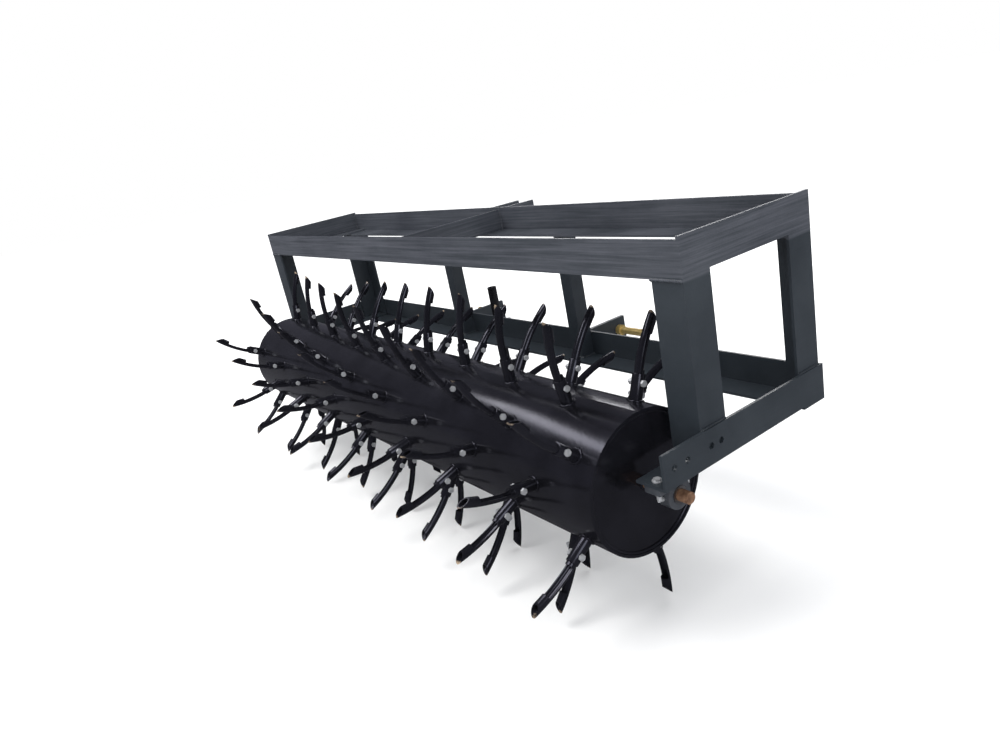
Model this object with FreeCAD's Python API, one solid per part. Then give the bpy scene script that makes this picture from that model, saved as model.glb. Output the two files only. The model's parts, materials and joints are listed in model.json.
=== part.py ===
import FreeCAD, Part
import math
import os

# Tractor-mounted core aerator, in millimetres.
# X runs along the drum, +Y points to the tractor, +Z is up.
# The origin is under the middle of the whole machine, on the ground.

Vector = FreeCAD.Vector
AXIS_X = Vector(1, 0, 0)
AXIS_Y = Vector(0, 1, 0)
AXIS_Z = Vector(0, 0, 1)

# Driving dimensions of the frame
FRAME_WIDTH = 2150.0
TRAY_DEPTH = 398.0
FRAME_HEIGHT = 456.0
ANGLE_LEG = 76.2
ANGLE_THICKNESS = 6.35
DIVIDER_LEG = 63.5
SIDE_RAIL_TAIL = 118.0
HITCH_POST_SIZE = 44.45
HITCH_POST_WALL = 3.2
HITCH_POST_OFFSET = 320.0
SIDE_HOLE_DIAMETER = 14.0
SIDE_HOLE_HEIGHT = 40.0
REAR_HOLE_POSITIONS = (-88.0, -50.0)
FRONT_HOLE_POSITIONS = (20.0, 50.0)

# Driving dimensions of the three-point hitch
LUG_THICKNESS = 12.7
LUG_HEIGHT = 76.2
LUG_REACH = 104.0
LUG_GAP = 63.5
LUG_BORE_DIAMETER = 19.3
LUG_BORE_INSET = 24.0
HITCH_PLATE_THICKNESS = 12.7
HITCH_PLATE_HEIGHT = 76.2
HITCH_PLATE_REACH = 149.65
HITCH_PIN_SPREAD = 683.0
HITCH_PIN_DIAMETER = 22.2
HITCH_PIN_LENGTH = 100.0
HITCH_PIN_INSET = 27.0
COLLAR_DIAMETER = 32.0
COLLAR_LENGTH = 15.0
LINCH_HOLE_DIAMETER = 11.5
LINCH_HOLE_INSET = 15.0
PIN_NUT_FLATS = 33.3
PIN_NUT_HEIGHT = 19.0
PIN_THREAD_TAIL = 3.0

# Driving dimensions of the parking stand
STAND_TUBE_DIAMETER = 31.75
STAND_TUBE_WALL = 3.2
STAND_CLEARANCE = 0.3
STAND_POSITION = -174.0
STAND_TOP_ABOVE_RAIL = 98.0
SLEEVE_WALL = 3.05
SLEEVE_HEIGHT = 70.0
FOOT_SIZE = 100.0
FOOT_THICKNESS = 9.5
CLAMP_BOLT_DIAMETER = 12.0
CLAMP_BOLT_REACH = 14.0
CLAMP_HEAD_HEIGHT = 8.0
CLAMP_NUT_FLATS = 19.0
CLAMP_NUT_HEIGHT = 10.0

# Driving dimensions of the drum and its bearings
DRUM_DIAMETER = 317.5
DRUM_END_CLEARANCE = 100.0
DRUM_WALL = 6.35
DRUM_AXIS_SETBACK = 59.5
DRUM_END_THICKNESS = 9.5
DRUM_END_RECESS = 5.0
AXLE_DIAMETER = 25.4
AXLE_STUB = 12.0
AXLE_CHAMFER = 1.5
BEARING_CENTRE_HEIGHT = 36.5
BEARING_BOLT_SPACING = 80.0
BEARING_FOOT_LENGTH = 114.0
BEARING_FOOT_WIDTH = 38.0
BEARING_FOOT_THICKNESS = 15.0
BEARING_HOUSING_RADIUS = 31.5
BEARING_NECK_WIDTH = 54.0
BEARING_HOUSING_WIDTH = 30.0
BEARING_RACE_DIAMETER = 36.0
BEARING_RUNNING_GAP = 0.05
BEARING_INNER_WIDTH = 34.0
BEARING_BOLT_DIAMETER = 9.5
BEARING_BOLT_LENGTH = 40.0
BEARING_BOLT_FLATS = 14.3
BEARING_HEAD_HEIGHT = 6.0
BEARING_NUT_HEIGHT = 8.4

# Driving dimensions of the coring tines
TINE_ROWS = 10
TINE_PITCH = 228.6
TINE_EDGE_DISTANCE = 28.0
ROW_START_ANGLE = 110.6
ROW_TWIST_PER_PITCH = 7.66
SOCKET_DIAMETER = 28.0
SOCKET_LENGTH = 58.0
SPOON_DIAMETER = 22.2
SPOON_BORE = 16.0
SPOON_REACH = 190.0
SPOON_BEND_RADIUS = 390.0
SPOON_CHORDS = 2
WINDOW_START = 7.0
WINDOW_LENGTH = 76.0
TIP_BEVEL_LENGTH = 22.0
TINE_SIDES = 6
BORE_SIDES = 4
FASTENER_SIDES = 6
GROUND_CLEARANCE = 1.0

# Heights and places that follow from the driving dimensions
HALF_WIDTH = FRAME_WIDTH / 2
DRUM_LENGTH = FRAME_WIDTH - 2 * DRUM_END_CLEARANCE
DRUM_RADIUS = DRUM_DIAMETER / 2
AXLE_RADIUS = AXLE_DIAMETER / 2
SPOON_RADIUS = SPOON_DIAMETER / 2
TIP_CIRCLE = DRUM_RADIUS + SPOON_REACH
AXLE_HEIGHT = TIP_CIRCLE + GROUND_CLEARANCE
RAIL_UNDERSIDE = AXLE_HEIGHT + BEARING_CENTRE_HEIGHT
RAIL_FLANGE_TOP = RAIL_UNDERSIDE + ANGLE_THICKNESS
FRONT_RAIL_UNDERSIDE = RAIL_UNDERSIDE - ANGLE_THICKNESS
TRAY_TOP = RAIL_UNDERSIDE + FRAME_HEIGHT
TRAY_UNDERSIDE = TRAY_TOP - ANGLE_LEG - ANGLE_THICKNESS
TRAY_REAR = -(TRAY_DEPTH + ANGLE_THICKNESS + HITCH_PLATE_REACH - DRUM_AXIS_SETBACK - TIP_CIRCLE) / 2
TRAY_FRONT = TRAY_REAR + TRAY_DEPTH
FRONT_FACE = TRAY_FRONT + ANGLE_THICKNESS
DRUM_AXIS = TRAY_REAR - DRUM_AXIS_SETBACK
BEARING_PLACE = HALF_WIDTH - BEARING_FOOT_WIDTH / 2 - 2 * ANGLE_THICKNESS
PLATE_OUTER_FACE = HITCH_PIN_SPREAD / 2 - COLLAR_LENGTH
SIDES = (("left", -1), ("right", 1))


def box(low, high):
    """A box between two corners."""
    size = high - low
    return Part.makeBox(size.x, size.y, size.z, low)


def rod(radius, start, direction, length):
    """A cylinder from a start point along a direction."""
    return Part.makeCylinder(radius, length, start, direction)


def tube(outer_radius, inner_radius, start, direction, length):
    """A round tube from a start point along a direction."""
    return rod(outer_radius, start, direction, length).cut(rod(inner_radius, start, direction, length))


def extrude_outline(points, run):
    """A prism on a closed outline of points."""
    return Part.Face(Part.makePolygon(points + [points[0]])).extrude(run)


def polygon_points(corner_radius, sides, centre, direction):
    """Corners of a regular polygon square to a direction; the first corner lies along X where it can."""
    lengthwise = abs(direction.dot(AXIS_X)) > 0.5
    first = AXIS_Y if lengthwise else AXIS_X
    second = direction.cross(first)
    points = []
    for step in range(sides):
        turn = 2 * math.pi * step / sides
        out = first * math.cos(turn) + second * math.sin(turn)
        points.append(centre + out * corner_radius)
    return points


def same_area_corner(diameter, sides):
    """Corner radius of the regular polygon that has a circle's area."""
    return diameter / 2 * math.sqrt(2 * math.pi / (sides * math.sin(2 * math.pi / sides)))


def hex_prism(flats, start, direction, height):
    """A hexagon prism, as a bolt head or nut blank."""
    return extrude_outline(polygon_points(flats / math.sqrt(3), 6, start, direction), direction * height)


def faceted_rod(diameter, start, direction, length):
    """A fastener's shank or its hole, with few faces."""
    corner = same_area_corner(diameter, FASTENER_SIDES)
    return extrude_outline(polygon_points(corner, FASTENER_SIDES, start, direction), direction * length)


def angle_bar(heel, leg_u, leg_v, run, leg=ANGLE_LEG):
    """A steel angle: heel corner, the directions of its two legs, and its length."""
    thin = ANGLE_THICKNESS
    corners = [(0, 0), (leg, 0), (leg, thin), (thin, thin), (thin, leg), (0, leg)]
    return extrude_outline([heel + leg_u * u + leg_v * v for u, v in corners], run)


def mirrored(shape):
    """The left-hand copy of a right-hand piece."""
    return shape.mirror(Vector(0, 0, 0), AXIS_X)


def tray_cross_rail(face, inward):
    """Front or rear tray rail: its upright leg stands between the side rails, its flange runs under them."""
    heel = Vector(-HALF_WIDTH, face, TRAY_UNDERSIDE)
    rail = angle_bar(heel, AXIS_Z, inward, AXIS_X * FRAME_WIDTH)
    for side in (-1, 1):
        outer = Vector(side * HALF_WIDTH, face - ANGLE_LEG, TRAY_UNDERSIDE + ANGLE_THICKNESS)
        inner = Vector(side * (HALF_WIDTH - ANGLE_THICKNESS), face + ANGLE_LEG, TRAY_TOP)
        low = Vector(min(outer.x, inner.x), outer.y, outer.z)
        high = Vector(max(outer.x, inner.x), inner.y, inner.z)
        rail = rail.cut(box(low, high))
    return rail


def tray_side_rail():
    """Right-hand tray rail, its flange coped to lie on the cross rails' flanges."""
    heel = Vector(HALF_WIDTH, TRAY_REAR, TRAY_TOP - ANGLE_LEG)
    rail = angle_bar(heel, AXIS_Z, -AXIS_X, AXIS_Y * TRAY_DEPTH)
    inside = HALF_WIDTH - ANGLE_THICKNESS
    for face, into in ((TRAY_REAR, 1), (TRAY_FRONT, -1)):
        edge = face + into * ANGLE_THICKNESS
        low = Vector(inside - ANGLE_LEG, min(face, edge), TRAY_UNDERSIDE)
        high = Vector(inside, max(face, edge), TRAY_TOP)
        rail = rail.cut(box(low, high))
    return rail


def tray_divider():
    """Middle angle that splits the tray in two bays."""
    heel = Vector(ANGLE_THICKNESS / 2, TRAY_REAR + ANGLE_THICKNESS, TRAY_UNDERSIDE + ANGLE_THICKNESS)
    run = AXIS_Y * (TRAY_DEPTH - 2 * ANGLE_THICKNESS)
    return angle_bar(heel, AXIS_Z, -AXIS_X, run, DIVIDER_LEG)


def lower_side_rail():
    """Right-hand lower rail that carries a bearing: its flange stops at the front rail's upright leg.

    The rear pair of holes is open. The front pair lies over the rear post's leg.
    """
    heel = Vector(HALF_WIDTH + ANGLE_THICKNESS, TRAY_REAR - SIDE_RAIL_TAIL, RAIL_UNDERSIDE)
    length = SIDE_RAIL_TAIL + TRAY_DEPTH + ANGLE_THICKNESS
    rail = angle_bar(heel, AXIS_Z, -AXIS_X, AXIS_Y * length)
    low = Vector(HALF_WIDTH - ANGLE_LEG, TRAY_FRONT, RAIL_UNDERSIDE)
    rail = rail.cut(box(low, Vector(HALF_WIDTH, FRONT_FACE, RAIL_UNDERSIDE + ANGLE_LEG)))
    hole_height = RAIL_UNDERSIDE + SIDE_HOLE_HEIGHT
    for place in REAR_HOLE_POSITIONS:
        start = Vector(HALF_WIDTH, TRAY_REAR + place, hole_height)
        rail = rail.cut(rod(SIDE_HOLE_DIAMETER / 2, start, AXIS_X, ANGLE_THICKNESS))
    for place in FRONT_HOLE_POSITIONS:
        start = Vector(HALF_WIDTH, TRAY_REAR + place, hole_height)
        rail = rail.cut(faceted_rod(SIDE_HOLE_DIAMETER, start, AXIS_X, ANGLE_THICKNESS))
    for bolt_x, bolt_y in bearing_bolt_places()[2:]:
        start = Vector(bolt_x, bolt_y, RAIL_UNDERSIDE)
        rail = rail.cut(faceted_rod(BEARING_BOLT_DIAMETER, start, AXIS_Z, ANGLE_THICKNESS))
    return rail


def lower_front_rail():
    """Lower rail across the front: its flange runs under the side rails, its leg stands between them."""
    outer = HALF_WIDTH + ANGLE_THICKNESS
    heel = Vector(-outer, FRONT_FACE, FRONT_RAIL_UNDERSIDE)
    rail = angle_bar(heel, AXIS_Z, -AXIS_Y, AXIS_X * 2 * outer)
    for side in (-1, 1):
        near = min(side * HALF_WIDTH, side * outer)
        low = Vector(near, FRONT_FACE - ANGLE_LEG, RAIL_UNDERSIDE)
        high = Vector(near + ANGLE_THICKNESS, FRONT_FACE, RAIL_UNDERSIDE + ANGLE_LEG)
        rail = rail.cut(box(low, high))
    return rail


def corner_post(face, inward):
    """Right-hand corner post, standing on the lower side rail's flange."""
    heel = Vector(HALF_WIDTH, face, RAIL_FLANGE_TOP)
    return angle_bar(heel, -AXIS_X, inward, AXIS_Z * (TRAY_UNDERSIDE - RAIL_FLANGE_TOP))


def hitch_post(side):
    """Square tube between the lower front rail and the tray."""
    half = HITCH_POST_SIZE / 2
    wall = Vector(HITCH_POST_WALL, HITCH_POST_WALL, 0)
    low = Vector(side * HITCH_POST_OFFSET - half, TRAY_FRONT - HITCH_POST_SIZE, RAIL_UNDERSIDE)
    high = Vector(side * HITCH_POST_OFFSET + half, TRAY_FRONT, TRAY_UNDERSIDE)
    return box(low, high).cut(box(low + wall, high - wall))


def top_link_lug(side):
    """Drilled plate on the tray's front face for the top-link pin."""
    inner = side * LUG_GAP / 2
    outer = inner + side * LUG_THICKNESS
    low = Vector(min(inner, outer), TRAY_FRONT, TRAY_UNDERSIDE)
    high = Vector(max(inner, outer), TRAY_FRONT + LUG_REACH, TRAY_UNDERSIDE + LUG_HEIGHT)
    start = Vector(low.x, high.y - LUG_BORE_INSET, TRAY_UNDERSIDE + LUG_HEIGHT / 2)
    return box(low, high).cut(rod(LUG_BORE_DIAMETER / 2, start, AXIS_X, LUG_THICKNESS))


def hitch_pin_point(x):
    """A point on the hitch pins' axis."""
    y = FRONT_FACE + HITCH_PLATE_REACH - HITCH_PIN_INSET
    return Vector(x, y, FRONT_RAIL_UNDERSIDE + HITCH_PLATE_HEIGHT / 2)


def hitch_plate(side):
    """Flat bar on the lower front rail that carries a hitch pin."""
    outer = side * PLATE_OUTER_FACE
    inner = outer - side * HITCH_PLATE_THICKNESS
    low = Vector(min(inner, outer), FRONT_FACE, FRONT_RAIL_UNDERSIDE)
    top = FRONT_RAIL_UNDERSIDE + HITCH_PLATE_HEIGHT
    high = Vector(max(inner, outer), FRONT_FACE + HITCH_PLATE_REACH, top)
    return box(low, high).cut(
        faceted_rod(HITCH_PIN_DIAMETER, hitch_pin_point(low.x), AXIS_X, HITCH_PLATE_THICKNESS)
    )


def hitch_pin(side):
    """Turned hitch pin: shank through the plate, collar, and shaft with its linch-pin hole."""
    outward = AXIS_X * side
    face = hitch_pin_point(side * PLATE_OUTER_FACE)
    end = COLLAR_LENGTH + HITCH_PIN_LENGTH
    radius = HITCH_PIN_DIAMETER / 2
    steps = [
        (0, 0),
        (0, COLLAR_DIAMETER / 2),
        (COLLAR_LENGTH, COLLAR_DIAMETER / 2),
        (COLLAR_LENGTH, radius),
        (end, radius),
        (end, 0),
    ]
    points = [face + outward * along + AXIS_Z * out for along, out in steps]
    turned = Part.Face(Part.makePolygon(points + [points[0]])).revolve(face, AXIS_X, 360)
    shank_length = HITCH_PLATE_THICKNESS + PIN_NUT_HEIGHT + PIN_THREAD_TAIL
    shank = faceted_rod(HITCH_PIN_DIAMETER, face, -outward, shank_length)
    hole = face + outward * (end - LINCH_HOLE_INSET) - AXIS_Z * COLLAR_DIAMETER
    return turned.fuse(shank).cut(faceted_rod(LINCH_HOLE_DIAMETER, hole, AXIS_Z, 2 * COLLAR_DIAMETER))


def hitch_pin_nut(side):
    """Nut on the hitch pin's shank, inside the plate."""
    start = hitch_pin_point(side * (PLATE_OUTER_FACE - HITCH_PLATE_THICKNESS))
    blank = hex_prism(PIN_NUT_FLATS, start, -AXIS_X * side, PIN_NUT_HEIGHT)
    return blank.cut(faceted_rod(HITCH_PIN_DIAMETER, start, -AXIS_X * side, PIN_NUT_HEIGHT))


def stand_point(z):
    """A point on the parking stand's axis."""
    sleeve_radius = STAND_TUBE_DIAMETER / 2 + STAND_CLEARANCE + SLEEVE_WALL
    return Vector(STAND_POSITION, FRONT_FACE + sleeve_radius, z)


def clamp_height():
    """Height of the stand's clamp bolt."""
    return FRONT_RAIL_UNDERSIDE + ANGLE_LEG / 2


def clamp_nut_face():
    """The outer face of the nut that is welded on the sleeve."""
    seat = STAND_TUBE_DIAMETER / 2 + STAND_CLEARANCE + SLEEVE_WALL
    return stand_point(clamp_height()) + AXIS_Y * (seat + CLAMP_NUT_HEIGHT)


def stand_sleeve():
    """Square-tube sleeve on the lower front rail, with the nut of its clamp bolt."""
    half_bore = STAND_TUBE_DIAMETER / 2 + STAND_CLEARANCE
    half = half_bore + SLEEVE_WALL
    centre = stand_point(clamp_height())
    rise = SLEEVE_HEIGHT / 2
    sleeve = box(centre - Vector(half, half, rise), centre + Vector(half, half, rise))
    hollow = box(centre - Vector(half_bore, half_bore, rise), centre + Vector(half_bore, half_bore, rise))
    nut = hex_prism(CLAMP_NUT_FLATS, clamp_nut_face(), -AXIS_Y, CLAMP_NUT_HEIGHT)
    return sleeve.cut(hollow).fuse(nut)


def stand_clamp_bolt():
    """The part of the clamp bolt that stands out of its nut."""
    shank = faceted_rod(CLAMP_BOLT_DIAMETER, clamp_nut_face(), AXIS_Y, CLAMP_BOLT_REACH)
    head_base = clamp_nut_face() + AXIS_Y * CLAMP_BOLT_REACH
    return shank.fuse(hex_prism(CLAMP_NUT_FLATS, head_base, AXIS_Y, CLAMP_HEAD_HEIGHT))


def stand_leg():
    """Round tube that slides in the sleeve."""
    top = FRONT_RAIL_UNDERSIDE + ANGLE_LEG + STAND_TOP_ABOVE_RAIL
    radius = STAND_TUBE_DIAMETER / 2
    return tube(radius, radius - STAND_TUBE_WALL, stand_point(FOOT_THICKNESS), AXIS_Z, top - FOOT_THICKNESS)


def stand_foot():
    """Square plate under the leg."""
    half = FOOT_SIZE / 2
    centre = stand_point(0)
    return box(centre - Vector(half, half, 0), centre + Vector(half, half, FOOT_THICKNESS))


def bearing_bolt_places():
    """Places of the four bearing bolts: two on the left, then two on the right."""
    places = []
    for side in (-1, 1):
        for end in (-1, 1):
            places.append((side * BEARING_PLACE, DRUM_AXIS + end * BEARING_BOLT_SPACING / 2))
    return places


def axis_point(x):
    """A point on the drum's axis."""
    return Vector(x, DRUM_AXIS, AXLE_HEIGHT)


def bearing_housing(side):
    """Pillow block hung under the side rail: foot, neck and round body, with the outer ring in it."""
    centre = axis_point(side * BEARING_PLACE)
    half_foot = Vector(BEARING_FOOT_WIDTH / 2, BEARING_FOOT_LENGTH / 2, 0)
    foot_top = Vector(centre.x, centre.y, RAIL_UNDERSIDE)
    foot = box(foot_top - half_foot - AXIS_Z * BEARING_FOOT_THICKNESS, foot_top + half_foot)
    start = centre - AXIS_X * (BEARING_HOUSING_WIDTH / 2)
    body = rod(BEARING_HOUSING_RADIUS, start, AXIS_X, BEARING_HOUSING_WIDTH)
    half_neck = Vector(BEARING_HOUSING_WIDTH / 2, BEARING_NECK_WIDTH / 2, 0)
    neck = box(centre - half_neck, foot_top + half_neck)
    housing = foot.fuse([body, neck]).removeSplitter()
    housing = housing.cut(rod(BEARING_RACE_DIAMETER / 2, start, AXIS_X, BEARING_HOUSING_WIDTH))
    for bolt_x, bolt_y in bearing_bolt_places():
        drill = Vector(bolt_x, bolt_y, RAIL_UNDERSIDE - BEARING_FOOT_THICKNESS)
        housing = housing.cut(faceted_rod(BEARING_BOLT_DIAMETER, drill, AXIS_Z, BEARING_FOOT_THICKNESS))
    return housing


def bearing_inner_ring(side):
    """Wide inner ring, locked to the axle."""
    start = axis_point(side * BEARING_PLACE - BEARING_INNER_WIDTH / 2)
    radius = BEARING_RACE_DIAMETER / 2 - BEARING_RUNNING_GAP
    return tube(radius, AXLE_RADIUS, start, AXIS_X, BEARING_INNER_WIDTH)


def bearing_bolt(place):
    """Hex bolt with its head on the rail's flange."""
    head_base = Vector(place[0], place[1], RAIL_FLANGE_TOP)
    shank = faceted_rod(BEARING_BOLT_DIAMETER, head_base, -AXIS_Z, BEARING_BOLT_LENGTH)
    return shank.fuse(hex_prism(BEARING_BOLT_FLATS, head_base, AXIS_Z, BEARING_HEAD_HEIGHT))


def bearing_nut(place):
    """Hex nut under the housing's foot."""
    top = Vector(place[0], place[1], RAIL_UNDERSIDE - BEARING_FOOT_THICKNESS)
    blank = hex_prism(BEARING_BOLT_FLATS, top, -AXIS_Z, BEARING_NUT_HEIGHT)
    return blank.cut(faceted_rod(BEARING_BOLT_DIAMETER, top, -AXIS_Z, BEARING_NUT_HEIGHT))


def axle():
    """Shaft through the whole drum, its ends in the two bearings."""
    end = HALF_WIDTH + AXLE_STUB
    shaft = rod(AXLE_RADIUS, axis_point(-end), AXIS_X, 2 * end)
    rims = [edge for edge in shaft.Edges if edge.Closed]
    return shaft.makeChamfer(AXLE_CHAMFER, rims)


def drum_shell():
    """Rolled steel drum."""
    return tube(DRUM_RADIUS, DRUM_RADIUS - DRUM_WALL, axis_point(-DRUM_LENGTH / 2), AXIS_X, DRUM_LENGTH)


def drum_end(side):
    """Disc welded in the drum's end, on the axle."""
    outer = side * (DRUM_LENGTH / 2 - DRUM_END_RECESS)
    start = axis_point(min(outer, outer - side * DRUM_END_THICKNESS))
    return tube(DRUM_RADIUS - DRUM_WALL, AXLE_RADIUS, start, AXIS_X, DRUM_END_THICKNESS)


def tine_section(diameter, sides, centre, direction):
    """The outline of a tine's tube or bore, with few sides and a round tube's area."""
    return polygon_points(same_area_corner(diameter, sides), sides, centre, direction)


def centreline(exposed):
    """A point of the spoon's curved centreline, by its length above the socket: +Z is outward, +Y leads."""
    turn = exposed / SPOON_BEND_RADIUS
    out = DRUM_RADIUS + SOCKET_LENGTH + SPOON_BEND_RADIUS * math.sin(turn)
    return Vector(0, SPOON_BEND_RADIUS * (1 - math.cos(turn)), out)


def spoon_path():
    """The centreline above the socket, as chords of its bend."""
    exposed = SPOON_REACH - SOCKET_LENGTH
    return [centreline(exposed * step / SPOON_CHORDS) for step in range(SPOON_CHORDS + 1)]


def direction_of(first, second):
    """The unit vector from one point to another."""
    return (second - first) * (1 / (second - first).Length)


def point_along(points, length):
    """The point at a length along straight runs, which go on past the last point."""
    for first, second in zip(points, points[1:]):
        run_length = (second - first).Length
        if length <= run_length or second is points[-1]:
            return first + direction_of(first, second) * length
        length -= run_length


def stretch(points, start, end):
    """The part of the straight runs between two lengths."""
    corners = []
    travelled = 0
    for first, second in zip(points, points[1:]):
        travelled += (second - first).Length
        if start < travelled < end and second is not points[-1]:
            corners.append(second)
    return [point_along(points, start)] + corners + [point_along(points, end)]


def sweep(points, outline):
    """A solid swept along straight runs with mitred corners."""
    return Part.makePolygon(points).makePipeShell([Part.makePolygon(outline + [outline[0]])], True, False, 1)


def coring_tine():
    """One tine on its socket, pointing up from the drum's axis, with its window facing +Y.

    The spoon is a tube bent towards the side that enters the soil first. Half of it is cut away
    between the socket and the head, and its mouth is bevelled to a point on the trailing side.
    """
    path = spoon_path()
    foot = Vector(0, 0, DRUM_RADIUS)
    socket = extrude_outline(tine_section(SOCKET_DIAMETER, TINE_SIDES, foot, AXIS_Z), AXIS_Z * SOCKET_LENGTH)

    root = stretch(path, -SPOON_RADIUS, SPOON_REACH - SOCKET_LENGTH)
    spoon = sweep(root, tine_section(SPOON_DIAMETER, TINE_SIDES, root[0], direction_of(root[0], root[1])))

    beyond = SPOON_REACH + SPOON_RADIUS
    hollow = stretch(path, WINDOW_START, beyond)
    bore = sweep(hollow, tine_section(SPOON_BORE, BORE_SIDES, hollow[0], direction_of(hollow[0], hollow[1])))

    open_part = stretch(path, WINDOW_START, WINDOW_START + WINDOW_LENGTH)
    lead = direction_of(open_part[0], open_part[1]).cross(AXIS_X) * SPOON_DIAMETER
    half_x = AXIS_X * SPOON_DIAMETER
    start = open_part[0]
    window = sweep(open_part, [start - half_x, start + half_x, start + half_x + lead, start - half_x + lead])

    outward = direction_of(path[-2], path[-1])
    lead = outward.cross(AXIS_X) * SPOON_RADIUS
    slope = lead * 2 - outward * TIP_BEVEL_LENGTH
    low = path[-1] - lead - slope - AXIS_X * SPOON_DIAMETER
    high = path[-1] - lead + slope * 2 - AXIS_X * SPOON_DIAMETER
    past = outward * (3 * TIP_BEVEL_LENGTH)
    bevel = extrude_outline([low, high, high + past, low + past], AXIS_X * (2 * SPOON_DIAMETER))

    return socket.fuse(spoon).cut(bore).cut(window).cut(bevel).removeSplitter()


def tine_row(row, tine):
    """The tines of one helical row: every other row is shifted by half a pitch."""
    shift = row % 2 / 2
    reach = (DRUM_LENGTH / 2 - TINE_EDGE_DISTANCE) / TINE_PITCH
    last = math.floor(reach - shift) + shift
    count = round(2 * last) + 1
    tines = []
    for number in range(count):
        place = number - last
        angle = ROW_START_ANGLE + 360 / TINE_ROWS * row + ROW_TWIST_PER_PITCH * place
        copy = tine.copy()
        copy.rotate(Vector(0, 0, 0), AXIS_X, angle - 90)
        copy.translate(axis_point(TINE_PITCH * place))
        tines.append(copy)
    return tines


def build():
    """Every node of the machine, by name, as a list of solids."""
    nodes = {
        "tray_rail_rear": [tray_cross_rail(TRAY_REAR, AXIS_Y)],
        "tray_rail_front": [tray_cross_rail(TRAY_FRONT, -AXIS_Y)],
        "tray_divider": [tray_divider()],
        "front_rail_lower": [lower_front_rail()],
        "stand_sleeve": [stand_sleeve()],
        "stand_clamp_bolt": [stand_clamp_bolt()],
        "stand_leg": [stand_leg()],
        "stand_foot": [stand_foot()],
        "axle": [axle()],
        "drum_shell": [drum_shell()],
    }
    right_handed = {
        "tray_rail": tray_side_rail(),
        "side_rail": lower_side_rail(),
        "corner_post_rear": corner_post(TRAY_REAR, AXIS_Y),
        "corner_post_front": corner_post(TRAY_FRONT, -AXIS_Y),
    }
    for name, shape in right_handed.items():
        nodes[name + "_right"] = [shape]
        nodes[name + "_left"] = [mirrored(shape)]
    for name, side in SIDES:
        nodes["hitch_post_" + name] = [hitch_post(side)]
        nodes["top_link_lug_" + name] = [top_link_lug(side)]
        nodes["hitch_plate_" + name] = [hitch_plate(side)]
        nodes["hitch_pin_" + name] = [hitch_pin(side)]
        nodes["bearing_housing_" + name] = [bearing_housing(side)]
    both = [side for name, side in SIDES]
    nodes["hitch_pin_nuts"] = [hitch_pin_nut(side) for side in both]
    nodes["bearing_inner_rings"] = [bearing_inner_ring(side) for side in both]
    nodes["drum_ends"] = [drum_end(side) for side in both]
    nodes["bearing_bolts"] = [bearing_bolt(place) for place in bearing_bolt_places()]
    nodes["bearing_nuts"] = [bearing_nut(place) for place in bearing_bolt_places()]
    tine = coring_tine()
    for row in range(TINE_ROWS):
        nodes["tine_row_%02d" % (row + 1)] = tine_row(row, tine)
    return nodes


os.makedirs("parts", exist_ok=True)
for node, solids in build().items():
    shape = solids[0] if len(solids) == 1 else Part.makeCompound(solids)
    shape.exportStep("parts/" + node + ".step")
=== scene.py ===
# %% [markdown]
# # A core aerator for a tractor
# The machine is a drum with bent hollow spoons in an angle-iron frame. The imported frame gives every
# steel section at its true size. This script adds the round spoons, the bolts through their
# sockets, the weld beads and the finishes, and sets the camera where the photographer stood.

# %% Load the frame
import bpy
import json
import math
import random
from mathutils import Matrix, Vector


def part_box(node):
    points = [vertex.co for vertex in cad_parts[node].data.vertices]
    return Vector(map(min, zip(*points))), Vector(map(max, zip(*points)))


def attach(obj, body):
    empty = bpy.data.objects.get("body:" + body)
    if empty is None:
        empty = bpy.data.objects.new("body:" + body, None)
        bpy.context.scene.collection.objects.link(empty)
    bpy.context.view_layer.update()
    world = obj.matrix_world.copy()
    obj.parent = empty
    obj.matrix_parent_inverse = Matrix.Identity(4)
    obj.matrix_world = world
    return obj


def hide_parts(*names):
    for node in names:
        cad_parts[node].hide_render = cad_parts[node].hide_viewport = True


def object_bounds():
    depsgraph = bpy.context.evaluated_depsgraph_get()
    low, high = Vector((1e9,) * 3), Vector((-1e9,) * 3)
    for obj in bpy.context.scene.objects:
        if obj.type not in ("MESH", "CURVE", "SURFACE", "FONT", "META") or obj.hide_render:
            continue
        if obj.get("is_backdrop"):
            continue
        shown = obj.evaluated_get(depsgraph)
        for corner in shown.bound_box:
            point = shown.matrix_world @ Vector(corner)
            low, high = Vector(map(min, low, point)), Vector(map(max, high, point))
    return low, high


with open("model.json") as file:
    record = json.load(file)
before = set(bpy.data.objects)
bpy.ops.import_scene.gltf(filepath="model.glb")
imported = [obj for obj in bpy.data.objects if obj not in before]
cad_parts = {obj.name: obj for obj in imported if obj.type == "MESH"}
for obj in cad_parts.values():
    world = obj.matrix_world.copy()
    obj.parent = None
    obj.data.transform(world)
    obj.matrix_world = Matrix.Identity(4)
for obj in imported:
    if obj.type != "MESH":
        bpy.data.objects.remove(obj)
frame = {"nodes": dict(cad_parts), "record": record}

cad_low, cad_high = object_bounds()
nodes = frame["nodes"]
print("frame", [round(v, 3) for v in cad_high - cad_low], "nodes", len(nodes))

# %% [markdown]
# ## Places and sizes
# The drum's axis is read from the frame itself, so it isn't measured twice. The sizes below belong to
# the spoons and their rows, which this script models anew. Lengths are in metres, angles in degrees.

# %% Places on the machine
shell_low, shell_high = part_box("drum_shell")
DRUM_RADIUS = (shell_high.z - shell_low.z) / 2
DRUM_HALF = shell_high.x
AXIS = Vector((0, (shell_low.y + shell_high.y) / 2, (shell_low.z + shell_high.z) / 2))

SOCKET_RADIUS = 0.014
SOCKET_LENGTH = 0.058
SPOON_RADIUS = 0.0111
BORE_RADIUS = 0.0082
SPOON_REACH = 0.1885
BEND_RADIUS = 0.390
WINDOW_START = 0.007
WINDOW_LENGTH = 0.076
TIP_BEVEL = 0.022

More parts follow.
